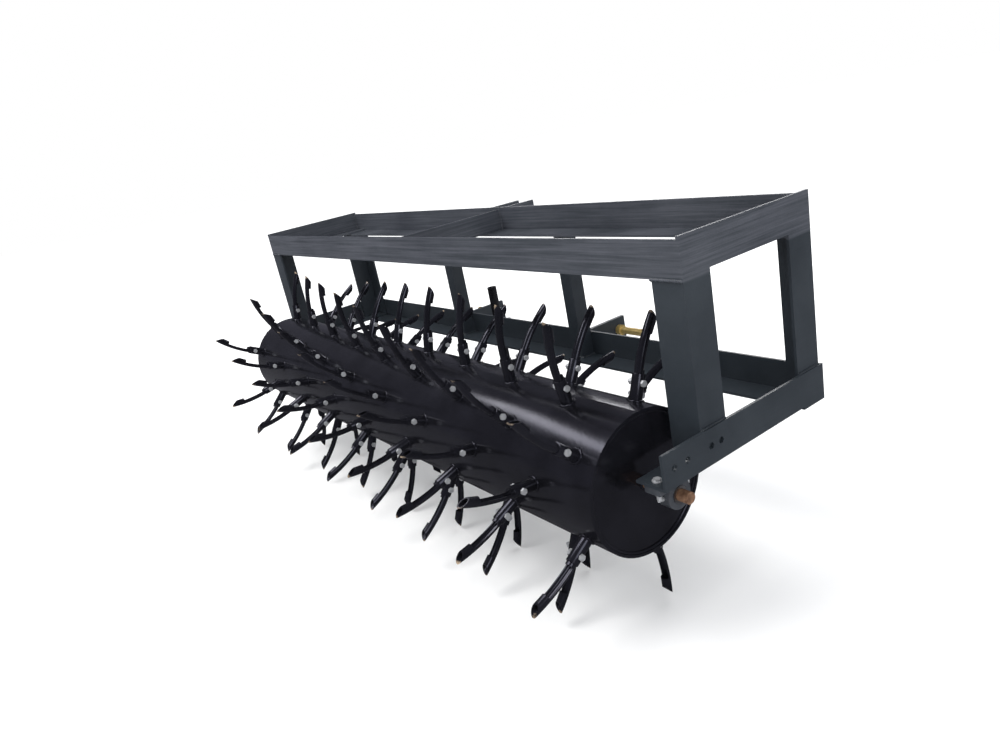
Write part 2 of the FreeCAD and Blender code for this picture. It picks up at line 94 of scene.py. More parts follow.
ROWS = 10
MOST_IN_A_ROW = 9
PITCH = 0.2286
FIRST_ROW_ANGLE = 110.6
TWIST_PER_PITCH = 7.66
print("drum radius", round(DRUM_RADIUS, 4), "axis", [round(v, 4) for v in AXIS])

# %% [markdown]
# ## The camera
# The photograph is taken from behind the right-hand end, a little above the tray, with a short lens.
# The three directions of the camera are written as the columns of its matrix, which is exact and
# needs no target object.

# %% Camera
SENSOR_WIDTH_MM = 36
LENS_MM = 26.686
NEAREST = 0.05
RIGHT = Vector((0.5846553, 0.7884574, -0.1910842))
UP = Vector((-0.1521633, 0.3379261, 0.9287908))
BACK = Vector((0.7968842, -0.5139464, 0.3175445))
PLACE = Vector((1.96606, -1.06899, 1.08858))

camera_data = bpy.data.cameras.new("camera")
camera = bpy.data.objects.new("camera", camera_data)
bpy.context.scene.collection.objects.link(camera)
camera.matrix_world = Matrix((
    (RIGHT.x, UP.x, BACK.x, PLACE.x),
    (RIGHT.y, UP.y, BACK.y, PLACE.y),
    (RIGHT.z, UP.z, BACK.z, PLACE.z),
    (0, 0, 0, 1),
))
camera_data.sensor_width = SENSOR_WIDTH_MM
camera_data.lens = LENS_MM
camera_data.clip_start = NEAREST
bpy.context.scene.camera = camera
print("lens", camera_data.lens)

# %% [markdown]
# ## Finishes
# Each finish is a small node tree. Noise in the object's own coordinates breaks up the colour and
# the gloss, because real paint is never one value. The noise is stretched where a brush or a sheet
# of steel leaves streaks.

# %% Helpers for finishes
EVEN = (1, 1, 1)


def finish_nodes(name):
    """A new material with its shader, and the object's own coordinates."""
    material = bpy.data.materials.new(name)
    material.use_nodes = True
    tree = material.node_tree
    shader = tree.nodes["Principled BSDF"]
    place = tree.nodes.new("ShaderNodeTexCoord")
    return material, tree, shader, place.outputs["Object"]


def stretched_noise(tree, place, stretch, scale, detail=6.0, roughness=0.6):
    """Noise whose grain is stretched by a factor along each axis."""
    mapping = tree.nodes.new("ShaderNodeMapping")
    mapping.inputs["Scale"].default_value = stretch
    tree.links.new(place, mapping.inputs["Vector"])
    noise = tree.nodes.new("ShaderNodeTexNoise")
    noise.inputs["Scale"].default_value = scale
    noise.inputs["Detail"].default_value = detail
    noise.inputs["Roughness"].default_value = roughness
    tree.links.new(mapping.outputs["Vector"], noise.inputs["Vector"])
    return noise.outputs["Fac"]


def two_tones(tree, factor, dark, pale, start=0.3, end=0.7):
    """A dark colour that turns into a pale one between two values of the factor."""
    node = tree.nodes.new("ShaderNodeValToRGB")
    stops = ((start, dark), (end, pale))
    for element, (position, colour) in zip(node.color_ramp.elements, stops):
        element.position = position
        element.color = (*colour, 1)
    tree.links.new(factor, node.inputs["Fac"])
    return node.outputs["Color"]


def level(tree, factor, old_range, new_range):
    """A value stretched from one range to another."""
    node = tree.nodes.new("ShaderNodeMapRange")
    node.inputs["From Min"].default_value, node.inputs["From Max"].default_value = old_range
    node.inputs["To Min"].default_value, node.inputs["To Max"].default_value = new_range
    tree.links.new(factor, node.inputs["Value"])
    return node.outputs["Result"]


def mix_colours(tree, factor, first, second):
    """One colour laid over another by a factor."""
    node = tree.nodes.new("ShaderNodeMix")
    node.data_type = "RGBA"
    tree.links.new(factor, node.inputs["Factor"])
    tree.links.new(first, node.inputs["A"])
    tree.links.new(second, node.inputs["B"])
    return node.outputs["Result"]


def mix_shaders(tree, factor, first, second):
    """One shader laid over another by a factor."""
    node = tree.nodes.new("ShaderNodeMixShader")
    tree.links.new(factor, node.inputs["Fac"])
    tree.links.new(first, node.inputs[1])
    tree.links.new(second, node.inputs[2])
    return node.outputs["Shader"]


def add_bump(tree, shader, height, strength, distance):
    """A fine relief on the shader."""
    bump = tree.nodes.new("ShaderNodeBump")
    bump.inputs["Strength"].default_value = strength
    bump.inputs["Distance"].default_value = distance
    tree.links.new(height, bump.inputs["Height"])
    tree.links.new(bump.outputs["Normal"], shader.inputs["Normal"])


# %% [markdown]
# ### Frame paint
# The frame is sprayed a dark blue-grey. The tray's rails are handled and stacked the most, so their
# paint is rubbed paler in level streaks, and the same paler tone also stands for a painted sheen of
# light on them: the height above the ground tells the finish where they are.

# %% Frame paint
FRESH_TONES = (0.021, 0.027, 0.034), (0.036, 0.044, 0.053)
# Paler tones of the tray's rails: partly rubbed paint, partly a painted sheen of light.
RUBBED_AND_SHEEN_TONES = (0.088, 0.092, 0.112), (0.125, 0.129, 0.152)
LEVEL_STREAKS = (0.6, 0.6, 30)
RUBBED_AND_SHEEN_FROM = 0.012
RUBBED_AND_SHEEN_FULLY = 0.004

frame_paint, tree, shader, place = finish_nodes("frame_paint")
cloud = stretched_noise(tree, place, EVEN, scale=5.0)
streak = stretched_noise(tree, place, LEVEL_STREAKS, scale=6.0, detail=8.0, roughness=0.7)
fresh = two_tones(tree, cloud, *FRESH_TONES)
rubbed_and_sheen = two_tones(tree, cloud, *RUBBED_AND_SHEEN_TONES)
height = tree.nodes.new("ShaderNodeSeparateXYZ")
tree.links.new(place, height.inputs["Vector"])
tray_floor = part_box("tray_rail_right")[0].z
tray_edge = (tray_floor - RUBBED_AND_SHEEN_FROM, tray_floor - RUBBED_AND_SHEEN_FULLY)
on_tray = level(tree, height.outputs["Z"], tray_edge, (0.0, 1.0))
streaks = tree.nodes.new("ShaderNodeMath")
streaks.operation = "MULTIPLY"
tree.links.new(level(tree, streak, (0.38, 0.70), (0.15, 0.85)), streaks.inputs[0])
tree.links.new(on_tray, streaks.inputs[1])
# The paler tone goes on the tray's rails as rubbed paint and painted sheen together.
paint = mix_colours(tree, streaks.outputs["Value"], fresh, rubbed_and_sheen)
tree.links.new(paint, shader.inputs["Base Color"])
tree.links.new(level(tree, streak, (0.3, 0.7), (0.42, 0.30)), shader.inputs["Roughness"])
peel = stretched_noise(tree, place, EVEN, scale=260.0, detail=3.0)
add_bump(tree, shader, peel, strength=0.08, distance=0.002)
print("made", frame_paint.name)

# %% [markdown]
# ### Drum paint
# The drum and the spoons are dipped in gloss black, which takes a blue-violet tone where the hall is
# mirrored. The spoons' ends have been through soil, so the paint is gone there: the distance from
# the drum's axis tells the finish where the tips are.

# %% Drum paint
BLACK_TONES = (0.004, 0.004, 0.005), (0.009, 0.009, 0.012)
SOIL_TONES = (0.20, 0.15, 0.10), (0.42, 0.33, 0.24)
MIRROR_TINT = (0.80, 0.80, 1.0, 1.0)
EDGE_WANDER = 0.03
BARE_FROM = 0.010
BARE_FADE = 0.008

black_paint, tree, shader, place = finish_nodes("black_paint")
cloud = stretched_noise(tree, place, EVEN, scale=7.0)
offset = tree.nodes.new("ShaderNodeVectorMath")
offset.operation = "SUBTRACT"
offset.inputs[1].default_value = AXIS
tree.links.new(place, offset.inputs[0])
flat = tree.nodes.new("ShaderNodeVectorMath")
flat.operation = "MULTIPLY"
flat.inputs[1].default_value = (0, 1, 1)
tree.links.new(offset.outputs["Vector"], flat.inputs[0])
distance = tree.nodes.new("ShaderNodeVectorMath")
distance.operation = "LENGTH"
tree.links.new(flat.outputs["Vector"], distance.inputs[0])
grain = stretched_noise(tree, place, EVEN, scale=60.0)
edge = tree.nodes.new("ShaderNodeMath")
edge.operation = "MULTIPLY_ADD"
edge.inputs[1].default_value = EDGE_WANDER
tree.links.new(grain, edge.inputs[0])
tree.links.new(distance.outputs["Value"], edge.inputs[2])
tip_start = DRUM_RADIUS + SPOON_REACH + BARE_FROM
bare = level(tree, edge.outputs["Value"], (tip_start, tip_start + BARE_FADE), (0.0, 1.0))
black = two_tones(tree, cloud, *BLACK_TONES, start=0.35)
soil = two_tones(tree, grain, *SOIL_TONES)
tree.links.new(mix_colours(tree, bare, black, soil), shader.inputs["Base Color"])
tree.links.new(level(tree, cloud, (0.3, 0.7), (0.13, 0.22)), shader.inputs["Roughness"])
shader.inputs["Specular Tint"].default_value = MIRROR_TINT
ripple = stretched_noise(tree, place, EVEN, scale=120.0, detail=3.0)
add_bump(tree, shader, ripple, strength=0.07, distance=0.002)
print("made", black_paint.name)

# %% [markdown]
# ### Plated, bare and plain painted steel
# Zinc plating is bright with a soft grain, and its yellow kind is passivated. The axle's end is left
# bare and has rusted. The bearings' castings and the stand's black paint come from the same helper,
# with no metal in them.

# %% Metals
SMOOTHER = 0.06
ROUGHER = 0.08


def metal(name, dark, bright, roughness, metallic, scale):
    """A metal or a plain paint whose colour wanders between two tones."""
    material, tree, shader, place = finish_nodes(name)
    noise = stretched_noise(tree, place, EVEN, scale)
    wander = level(tree, noise, (0.3, 0.7), (roughness - SMOOTHER, roughness + ROUGHER))
    tree.links.new(two_tones(tree, noise, dark, bright), shader.inputs["Base Color"])
    tree.links.new(wander, shader.inputs["Roughness"])
    shader.inputs["Metallic"].default_value = metallic
    grain = stretched_noise(tree, place, EVEN, scale=400.0, detail=2.0)
    add_bump(tree, shader, grain, strength=0.10, distance=0.001)
    print("made", material.name)
    return material


yellow_zinc = metal("yellow_zinc", (0.52, 0.36, 0.10), (0.84, 0.66, 0.30),
                    roughness=0.34, metallic=0.6, scale=45.0)
bright_zinc = metal("bright_zinc", (0.42, 0.43, 0.45), (0.66, 0.67, 0.69),
                    roughness=0.36, metallic=0.55, scale=80.0)
bearing_casting = metal("bearing_casting", (0.030, 0.034, 0.042), (0.060, 0.066, 0.078),
                        roughness=0.48, metallic=0.0, scale=50.0)
bearing_steel = metal("bearing_steel", (0.22, 0.21, 0.20), (0.48, 0.47, 0.46),
                      roughness=0.36, metallic=1.0, scale=60.0)
stand_black = metal("stand_black", (0.005, 0.005, 0.006), (0.012, 0.012, 0.015),
                    roughness=0.26, metallic=0.0, scale=12.0)
axle_steel = metal("axle_steel", (0.10, 0.045, 0.022), (0.30, 0.17, 0.10),
                   roughness=0.70, metallic=0.25, scale=90.0)
finishes = {
    "frame_paint": frame_paint,
    "black_paint": black_paint,
    "yellow_zinc": yellow_zinc,
    "bright_zinc": bright_zinc,
    "bearing_casting": bearing_casting,
    "bearing_steel": bearing_steel,
    "axle_steel": axle_steel,
}

# %% [markdown]
# ## Finishes on the frame
# The record says which finish each steel piece has. The finish is linked to the object, so the
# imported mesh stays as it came. The stand's leg and foot are the exception: they are far from the
# drum's axis, so the drum's black would turn bare on them, and they have a black of their own.

# %% Paint the frame's pieces
OWN_BLACK = ("stand_leg", "stand_foot")

for part in frame["record"]["subparts"]:
    piece = nodes[part["node"]]
    finish = stand_black if part["node"] in OWN_BLACK else finishes[part["material_slot"]]
    if not piece.material_slots:
        piece.data.materials.append(None)
    for holder in piece.material_slots:
        holder.link = "OBJECT"
        holder.material = finish

# %% [markdown]
# ## Tools for modelling
# Every new piece starts as a primitive. What repeats is made once at the origin and copied, each
# copy with a mesh of its own, and the copies are joined into one object.

# %% Helpers for modelling
def start_clean():
    """Nothing selected, so that the next step works on the new piece alone."""
    bpy.ops.object.select_all(action="DESELECT")


def pick(pieces):
    """Only these pieces selected, and the first of them active."""
    start_clean()
    for piece in pieces:
        piece.select_set(True)
    bpy.context.view_layer.objects.active = pieces[0]


def edit_all():
    """Edit mode with the whole mesh selected."""
    bpy.ops.object.mode_set(mode="EDIT")
    bpy.ops.mesh.select_all(action="SELECT")


def settle(name, material=None):
    """Name the new piece, put its place into its mesh, and give it a finish."""
    piece = bpy.context.object
    piece.name = name
    piece.data.name = name
    bpy.ops.object.transform_apply(location=True, rotation=True, scale=True)
    if material:
        piece.data.materials.clear()
        piece.data.materials.append(material)
    return piece


def cylinder(name, sides, radius, depth, centre, along="Z", material=None):
    """A cylinder or prism along an axis."""
    start_clean()
    turn = {"X": (0, math.pi / 2, 0), "Y": (math.pi / 2, 0, 0), "Z": (0, 0, 0)}[along]
    bpy.ops.mesh.primitive_cylinder_add(
        vertices=sides, radius=radius, depth=depth, location=centre, rotation=turn)
    return settle(name, material)


def join(name, pieces):
    """Several pieces as one object."""
    pick(pieces)
    bpy.ops.object.join()
    pieces[0].name = name
    pieces[0].data.name = name
    return pieces[0]


def copies(name, model, places):
    """A copy of the model at each place, joined."""
    made = []
    for place in places:
        copy = model.copy()
        copy.data = model.data.copy()
        copy.data.transform(place)
        bpy.context.scene.collection.objects.link(copy)
        made.append(copy)
    return join(name, made)


def carve(piece, cutter):
    """Take the cutter's shape out of the piece."""
    pick([piece])
    modifier = piece.modifiers.new("carve", "BOOLEAN")
    modifier.operation = "DIFFERENCE"
    modifier.solver = "EXACT"
    modifier.object = cutter
    bpy.ops.object.modifier_apply(modifier=modifier.name)
    bpy.data.objects.remove(cutter)


def smooth(piece, angle=40):
    """Round faces shaded smooth, edges sharper than the angle kept."""
    pick([piece])
    bpy.ops.object.shade_smooth_by_angle(angle=math.radians(angle))


# %% [markdown]
# ## The coring spoon
# A spoon is a steel tube bent towards the side that enters the turf first. Most of its leading half
# is cut away, so the plug of soil can drop out, and the mouth is ground to a slanting edge. A ring
# spun about the centre of the bend makes the tube, and two more such sweeps cut the bore and the
# window.

# %% One spoon on its socket
ROOT = DRUM_RADIUS + SOCKET_LENGTH
BEND_CENTRE = Vector((0, BEND_RADIUS, ROOT))
TUBE_SIDES = 22
TUBE_STEPS = 9
TUBE_IN_SOCKET = 0.010
TUBE_PAST_TIP = 0.004
BORE_SIDES = 18
BORE_PAST_TIP = 0.030
WINDOW_STEPS = 8
WINDOW_PAST_END = 0.001
WINDOW_CUTTER_SIZE = (0.04, 0.03, 1)
WINDOW_CUTTER_LEAD = 0.0155
SOCKET_SIDES = 24
SOCKET_SUNK = 0.004
SOCKET_BEVEL = 0.0016
RIM_TOLERANCE = 0.001


def bent_sweep(name, below, turn, beyond, steps):
    """Turn the active outline into a solid along the bend, straight below and beyond it."""
    edit_all()
    if below:
        bpy.ops.mesh.extrude_region_move(TRANSFORM_OT_translate={"value": (0, 0, below)})
    bpy.ops.mesh.spin(steps=steps, angle=turn, center=BEND_CENTRE, axis=(1, 0, 0))
    tangent = Vector((0, math.sin(turn), math.cos(turn)))
    bpy.ops.mesh.extrude_region_move(TRANSFORM_OT_translate={"value": tangent * beyond})
    bpy.ops.mesh.select_all(action="SELECT")
    bpy.ops.mesh.fill_holes(sides=0)
    bpy.ops.mesh.select_all(action="SELECT")
    bpy.ops.mesh.normals_make_consistent(inside=False)
    bpy.ops.object.mode_set(mode="OBJECT")
    return settle(name)


full_turn = (SPOON_REACH - SOCKET_LENGTH) / BEND_RADIUS
start_clean()
bpy.ops.mesh.primitive_circle_add(
    vertices=TUBE_SIDES, radius=SPOON_RADIUS, location=(0, 0, ROOT - TUBE_IN_SOCKET))
spoon = bent_sweep("spoon", TUBE_IN_SOCKET, full_turn, TUBE_PAST_TIP, TUBE_STEPS)
tip = BEND_CENTRE + Vector((0, -math.cos(full_turn), math.sin(full_turn))) * BEND_RADIUS
outward = Vector((0, math.sin(full_turn), math.cos(full_turn)))
lead = Vector((0, math.cos(full_turn), -math.sin(full_turn)))
highest = max(vertex.co.z for vertex in spoon.data.vertices)
print("tip", [round(v, 4) for v in tip], "highest point", round(highest, 4))

slope = lead * (2 * SPOON_RADIUS) - outward * TIP_BEVEL
across = Vector((1, 0, 0)).cross(slope).normalized()
if across.dot(outward) < 0:
    across = -across
edit_all()
bpy.ops.mesh.bisect(
    plane_co=tip - lead * SPOON_RADIUS, plane_no=across, use_fill=True, clear_outer=True)
bpy.ops.object.mode_set(mode="OBJECT")

start_clean()
bpy.ops.mesh.primitive_circle_add(
    vertices=BORE_SIDES, radius=BORE_RADIUS, location=(0, 0, ROOT + WINDOW_START))
bore = bent_sweep("bore", 0, full_turn, BORE_PAST_TIP, TUBE_STEPS)
carve(spoon, bore)

start_clean()
bpy.ops.mesh.primitive_plane_add(size=1, location=(0, WINDOW_CUTTER_LEAD, ROOT + WINDOW_START))
bpy.context.object.scale = WINDOW_CUTTER_SIZE
bpy.ops.object.transform_apply(scale=True)
edit_all()
bpy.ops.mesh.delete(type="ONLY_FACE")
bpy.ops.object.mode_set(mode="OBJECT")
window_turn = WINDOW_LENGTH / BEND_RADIUS
window = bent_sweep("window", 0, window_turn, WINDOW_PAST_END, WINDOW_STEPS)
carve(spoon, window)

socket = cylinder("socket", SOCKET_SIDES, SOCKET_RADIUS, SOCKET_LENGTH + SOCKET_SUNK,
                  (0, 0, DRUM_RADIUS + SOCKET_LENGTH / 2 - SOCKET_SUNK / 2))
bpy.ops.object.mode_set(mode="EDIT")
bpy.ops.mesh.select_all(action="DESELECT")
bpy.ops.object.mode_set(mode="OBJECT")
corners = socket.data.vertices
for edge in socket.data.edges:
    edge.select = all(corners[v].co.z > ROOT - RIM_TOLERANCE for v in edge.vertices)
bpy.ops.object.mode_set(mode="EDIT")
bpy.ops.mesh.bevel(offset=SOCKET_BEVEL, segments=2)
bpy.ops.object.mode_set(mode="OBJECT")
tine = join("tine", [spoon, socket])
tine.data.materials.clear()
tine.data.materials.append(black_paint)
smooth(tine)
print("tine faces", len(tine.data.polygons))

# %% [markdown]
# ## Rows of spoons
# Each row runs along the drum and winds a little round it, and every other row is shifted by half a
# pitch, so the spoons enter the ground one after another. Each row takes the place of the frame's
# plainer one. The model of a spoon points up, which is 90 degrees in the rows' own angles.

# %% Ten rows
MODEL_ANGLE = 90


def tine_places(row):
    """Where the spoons of a row stand on the drum."""
    count = MOST_IN_A_ROW - row % 2
    places = []
    for number in range(count):
        step = number - (count - 1) / 2
        angle = FIRST_ROW_ANGLE + 360 / ROWS * row + TWIST_PER_PITCH * step - MODEL_ANGLE
        along = Matrix.Translation(AXIS + Vector((PITCH * step, 0, 0)))
        places.append(along @ Matrix.Rotation(math.radians(angle), 4, "X"))
    return places


for row in range(ROWS):
    node = "tine_row_%02d" % (row + 1)
    spoons = copies("spoons_%02d" % (row + 1), tine, tine_places(row))
    smooth(spoons)
    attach(spoons, "drum")
    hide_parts(node)
bpy.data.objects.remove(tine)
print("rows", ROWS)

# %% [markdown]
# ## Cross bolts
# A plated bolt through each socket holds the spoon, so a worn one can be changed. Its head is on the
# right-hand side and its nut on the left. Three plain prisms are enough at this size.

# %% Bolts through the sockets
BOLT_ABOVE_DRUM = 0.038
HEX_RADIUS = 0.0076
HEAD_HEIGHT = 0.0056
HEAD_OFF_SOCKET = 0.0024
NUT_HEIGHT = 0.0070
NUT_OFF_SOCKET = 0.0031
SHANK_RADIUS = 0.0040
SHANK_LENGTH = 0.042
SHANK_SHIFT = 0.0045

bolt_height = DRUM_RADIUS + BOLT_ABOVE_DRUM
head = cylinder("head", 6, HEX_RADIUS, HEAD_HEIGHT,
                (SOCKET_RADIUS + HEAD_OFF_SOCKET, 0, bolt_height), "X")
nut = cylinder("nut", 6, HEX_RADIUS, NUT_HEIGHT,
               (-SOCKET_RADIUS - NUT_OFF_SOCKET, 0, bolt_height), "X")
shank = cylinder("shank", 12, SHANK_RADIUS, SHANK_LENGTH, (-SHANK_SHIFT, 0, bolt_height), "X")
cross_bolt = join("cross_bolt", [head, nut, shank])
cross_bolt.data.materials.append(bright_zinc)
every_place = [place for row in range(ROWS) for place in tine_places(row)]
cross_bolts = copies("cross_bolts", cross_bolt, every_place)
bpy.data.objects.remove(cross_bolt)
smooth(cross_bolts)
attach(cross_bolts, "drum")
print("cross bolts", len(every_place))

# %% [markdown]
# ## Welds round the sockets
# Each socket is welded to the drum all round. A torus pushed halfway into the steel looks like the
# bead that is left. Waves along it show the welder's steps, and its sides drop with the drum's
# curve.

# %% Beads round the sockets
BEAD_SMOOTH_ANGLE = 80
BEAD_OFF_SOCKET = 0.0012
BEAD_THICKNESS = 0.0034
BEAD_WAVES = 13
BEAD_SWELL = 0.06

start_clean()
bpy.ops.mesh.primitive_torus_add(
    major_radius=SOCKET_RADIUS + BEAD_OFF_SOCKET, minor_radius=BEAD_THICKNESS,
    major_segments=26, minor_segments=6, location=(0, 0, DRUM_RADIUS))
bead = settle("bead")
for vertex in bead.data.vertices:
    x, y, z = vertex.co
    swell = 1 + BEAD_SWELL * math.cos(BEAD_WAVES * math.atan2(y, x))
    drop = DRUM_RADIUS - math.sqrt(DRUM_RADIUS ** 2 - y ** 2)
    vertex.co = Vector((x * swell, y * swell, z - drop))
bead.data.materials.append(black_paint)
drum_beads = copies("socket_welds", bead, every_place)
bpy.data.objects.remove(bead)
smooth(drum_beads, BEAD_SMOOTH_ANGLE)
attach(drum_beads, "drum")
print("welds round", len(every_place), "sockets")

# %% [markdown]
# ## Welds on the drum's ends
# The end discs are welded to the shell round the rim, and to the axle round the hub. Both beads are
# plain rings, because the photograph shows them small.

# %% Beads on the drum's ends
END_WELD_INSET = 0.005
RIM_WELD_INSET = 0.0085
RIM_WELD_THICKNESS = 0.0042
HUB_WELD_RADIUS = 0.0142
HUB_WELD_THICKNESS = 0.0036


def end_weld(name, side, radius, thickness, segments):
    """A ring of weld on one end of the drum."""
    start_clean()
    bpy.ops.mesh.primitive_torus_add(
        major_radius=radius, minor_radius=thickness, major_segments=segments, minor_segments=8,
        location=(side * (DRUM_HALF - END_WELD_INSET), AXIS.y, AXIS.z),
        rotation=(0, math.pi / 2, 0))
    return settle(name, black_paint)


rims = []
for side in (-1, 1):
    rims.append(end_weld("rim", side, DRUM_RADIUS - RIM_WELD_INSET, RIM_WELD_THICKNESS, 96))
    rims.append(end_weld("hub_rim", side, HUB_WELD_RADIUS, HUB_WELD_THICKNESS, 32))
rim_welds = join("drum_end_welds", rims)
smooth(rim_welds, BEAD_SMOOTH_ANGLE)
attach(rim_welds, "drum")
print("welds on the drum's ends", len(rims))

# %% [markdown]
# ## Welds on the frame
# A bead is a row of overlapping drops. One drop is modelled as a small ball, and the rows follow the
# joints between the steel sections: the corners of the tray, the ends of the posts, the lugs, the
# hitch plates, the sleeve and the tray's divider.

# %% Beads along the frame's joints
ANGLE_LEG = 0.0762
ANGLE_THICKNESS = 0.00635
DROP_RADIUS = 0.0042
DROP_SPACING = 0.0045
DROP_MOST_TURN = 3
DROP_SIZES = (0.82, 1.05)
SHORT_OF_TOP = 0.006
SHORT_OF_CORNER = 0.004
SHORT_OF_END = 0.003
INTO_SLEEVE = 0.001

random.seed(7)
start_clean()
bpy.ops.mesh.primitive_uv_sphere_add(segments=8, ring_count=5, radius=DROP_RADIUS)
drop = settle("drop", frame_paint)


def bead_places(start, end):
    """Places of the drops from one end of a joint to the other, each turned a little."""
    start, end = Vector(start), Vector(end)
    count = max(2, round((end - start).length / DROP_SPACING))
    places = []
    for step in range(count + 1):
        at = Matrix.Translation(start.lerp(end, step / count))
        turn = random.uniform(0, DROP_MOST_TURN)
        about = Vector((random.random(), random.random(), 1))
        size = random.uniform(*DROP_SIZES)
        places.append(at @ Matrix.Rotation(turn, 4, about) @ Matrix.Scale(size, 4))
    return places


joints = []
rail_low, rail_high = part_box("tray_rail_right")
side_low, side_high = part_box("side_rail_right")
rear_low, rear_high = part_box("corner_post_rear_right")
front_low, front_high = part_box("corner_post_front_right")
posts = ((rear_low, rear_high, rear_low.y), (front_low, front_high, front_high.y))
rail_inside = side_low.z + ANGLE_THICKNESS
for side in (-1, 1):
    outer = side * rail_high.x
    inner = side * (rail_high.x - ANGLE_THICKNESS)
    near = side * (rail_high.x - SHORT_OF_CORNER)
    far = side * (rail_high.x - ANGLE_LEG)
    for y in (rail_low.y + ANGLE_THICKNESS, rail_high.y - ANGLE_THICKNESS):
        joints.append(((inner, y, rail_low.z + ANGLE_THICKNESS),
                       (inner, y, rail_high.z - SHORT_OF_TOP)))
    for low, high, face in posts:
        joints.append(((near, face, rail_inside), (far, face, rail_inside)))
        joints.append(((near, face, high.z), (far, face, high.z)))
        joints.append(((outer, low.y + SHORT_OF_END, side_high.z),
                       (outer, high.y - SHORT_OF_END, side_high.z)))
for name in ("hitch_post_left", "hitch_post_right"):
    low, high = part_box(name)
    for z in (low.z, high.z):
        corners = [(low.x, low.y, z), (high.x, low.y, z), (high.x, high.y, z), (low.x, high.y, z)]
        joints += list(zip(corners, corners[1:] + corners[:1]))
for name in ("top_link_lug_left", "top_link_lug_right", "hitch_plate_left", "hitch_plate_right"):
    low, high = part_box(name)
    for x in (low.x, high.x):
        joints.append(((x, low.y, low.z + SHORT_OF_END), (x, low.y, high.z - SHORT_OF_END)))
low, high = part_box("stand_sleeve")
for x in (low.x, high.x):
    joints.append(((x, low.y + INTO_SLEEVE, low.z + SHORT_OF_END),
                   (x, low.y + INTO_SLEEVE, high.z - SHORT_OF_END)))
low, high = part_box("tray_divider")
for y in (low.y, high.y):
    joints.append(((high.x, y, low.z), (high.x, y, high.z - SHORT_OF_END)))
places = [place for start, end in joints for place in bead_places(start, end)]
frame_welds = copies("frame_welds", drop, places)
bpy.data.objects.remove(drop)
smooth(frame_welds, BEAD_SMOOTH_ANGLE)
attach(frame_welds, "frame")
print("beads", len(joints), "drops", len(places))

# %% [markdown]
# ## Washers at the bearings
# The bearing bolts have flat washers, on the rail and under the bearing's foot. They are plain discs,
# since the bolts hide their holes.

# %% Washers
WASHER_RADIUS = 0.0112
WASHER_THICKNESS = 0.0020
BOLT_INSET = 0.0083
FOOT_THICKNESS = 0.015

bolts_low, bolts_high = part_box("bearing_bolts")
housing_low, housing_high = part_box("bearing_housing_right")
bearing_x = (housing_low.x + housing_high.x) / 2
heights = (rail_inside + WASHER_THICKNESS / 2,
           housing_high.z - FOOT_THICKNESS - WASHER_THICKNESS / 2)
washers = []
for side in (-1, 1):
    for y in (bolts_low.y + BOLT_INSET, bolts_high.y - BOLT_INSET):
        for z in heights:
            washers.append(cylinder("washer", 24, WASHER_RADIUS, WASHER_THICKNESS,
                                    (side * bearing_x, y, z), "Z", bright_zinc))
washers = join("bearing_washers", washers)
smooth(washers)
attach(washers, "frame")
print("washers made")

# %% [markdown]
# ## Grease nipples
# Each bearing is greased through a nipple on the back of its housing. A hexagon, a neck and a ball
# give its outline.

# %% Nipples
HOUSING_RADIUS = 0.0315
NIPPLE_BASE_RADIUS = 0.0050
NIPPLE_BASE_DEPTH = 0.006
NIPPLE_BASE_OUT = 0.002
NIPPLE_NECK_RADIUS = 0.0026
NIPPLE_NECK_DEPTH = 0.010
NIPPLE_NECK_OUT = 0.006
NIPPLE_BALL_RADIUS = 0.0033
NIPPLE_BALL_OUT = 0.0105

back = AXIS.y - HOUSING_RADIUS
nipples = []
for side in (-1, 1):
    x = side * bearing_x
    nipples.append(cylinder("base", 6, NIPPLE_BASE_RADIUS, NIPPLE_BASE_DEPTH,
                            (x, back - NIPPLE_BASE_OUT, AXIS.z), "Y", bright_zinc))
    nipples.append(cylinder("neck", 14, NIPPLE_NECK_RADIUS, NIPPLE_NECK_DEPTH,
                            (x, back - NIPPLE_NECK_OUT, AXIS.z), "Y", bright_zinc))
    start_clean()
    bpy.ops.mesh.primitive_uv_sphere_add(
        segments=14, ring_count=8, radius=NIPPLE_BALL_RADIUS,
        location=(x, back - NIPPLE_BALL_OUT, AXIS.z))
    nipples.append(settle("ball", bright_zinc))
nipples = join("grease_nipples", nipples)
smooth(nipples)
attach(nipples, "frame")
print("nipples made")

# %% [markdown]
# ## Set screws
# Two set screws hold each bearing's inner ring on the axle, so they turn with the drum. Small
# hexagonal prisms that stand out of the ring are all that can be seen of them.

# %% Screws
SCREW_ANGLES = (20, 140)
SCREW_RADIUS = 0.0022
SCREW_DEPTH = 0.003
SCREW_OUT = 0.0128
SCREW_HEIGHT = 0.0176

screws = []
for side in (-1, 1):
    for angle in SCREW_ANGLES:
        start_clean()
        turn = math.radians(angle)
        radial = Matrix.Rotation(turn, 4, "X")
        hub = AXIS + Vector((side * (bearing_x + SCREW_OUT), 0, 0))
        bpy.ops.mesh.primitive_cylinder_add(
            vertices=6, radius=SCREW_RADIUS, depth=SCREW_DEPTH,
            location=hub + radial @ Vector((0, 0, SCREW_HEIGHT)), rotation=(turn, 0, 0))
        screws.append(settle("screw", bearing_steel))
screws = join("set_screws", screws)
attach(screws, "drum")
print("set screws made")

# %% [markdown]
# ## The floor
# The photograph was cut out on white with pale ground under the machine. A matt floor in near white
# keeps the soft contact shadow. The gloss paint mirrors a dark floor instead, because black paint
# over a white one would look grey.

# %% Floor
FLOOR_SIZE = 60
FLOOR_BELOW = 0.001
FLOOR_TONES = (0.93, 0.93, 0.93), (0.96, 0.96, 0.96)
MIRRORED_FLOOR = (0.10, 0.10, 0.11, 1)

